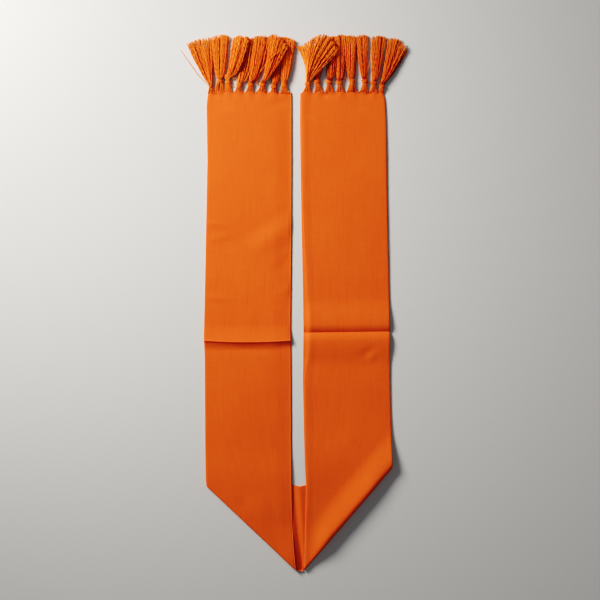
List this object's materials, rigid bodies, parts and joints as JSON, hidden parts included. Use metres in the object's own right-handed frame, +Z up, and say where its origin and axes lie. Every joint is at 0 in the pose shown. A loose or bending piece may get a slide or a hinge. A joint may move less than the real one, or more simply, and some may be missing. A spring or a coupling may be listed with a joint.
{
  "type": "angavastram stole laid flat",
  "caption": "Plain woven stole, folded lengthwise and laid flat in a narrow V, with knotted tassels at both ends.",
  "frame": {"origin": "middle of the footprint, on the surface that the stole lies on", "axes": "+Y from the neck towards the tassels, +X towards the right-hand column seen from above, +Z up from the surface"},
  "size_m": [0.4244, 1.005, 0.0129],
  "materials": {
    "saffron_cloth": "matte plain weave with a slight sheen",
    "saffron_yarn": "loose twisted threads with a slight sheen"
  },
  "bodies": {
    "root": {"left_panel": "saffron_cloth", "right_panel": "saffron_cloth", "neck_panel": "saffron_cloth", "tassel_left_1": "saffron_yarn", "tassel_left_2": "saffron_yarn", "tassel_left_3": "saffron_yarn", "tassel_left_4": "saffron_yarn", "tassel_left_5": "saffron_yarn", "tassel_left_6": "saffron_yarn", "tassel_left_7": "saffron_yarn", "tassel_left_8": "saffron_yarn", "tassel_right_1": "saffron_yarn", "tassel_right_2": "saffron_yarn", "tassel_right_3": "saffron_yarn", "tassel_right_4": "saffron_yarn", "tassel_right_5": "saffron_yarn", "tassel_right_6": "saffron_yarn", "tassel_right_7": "saffron_yarn", "tassel_right_8": "saffron_yarn"}
  },
  "joints": []
}
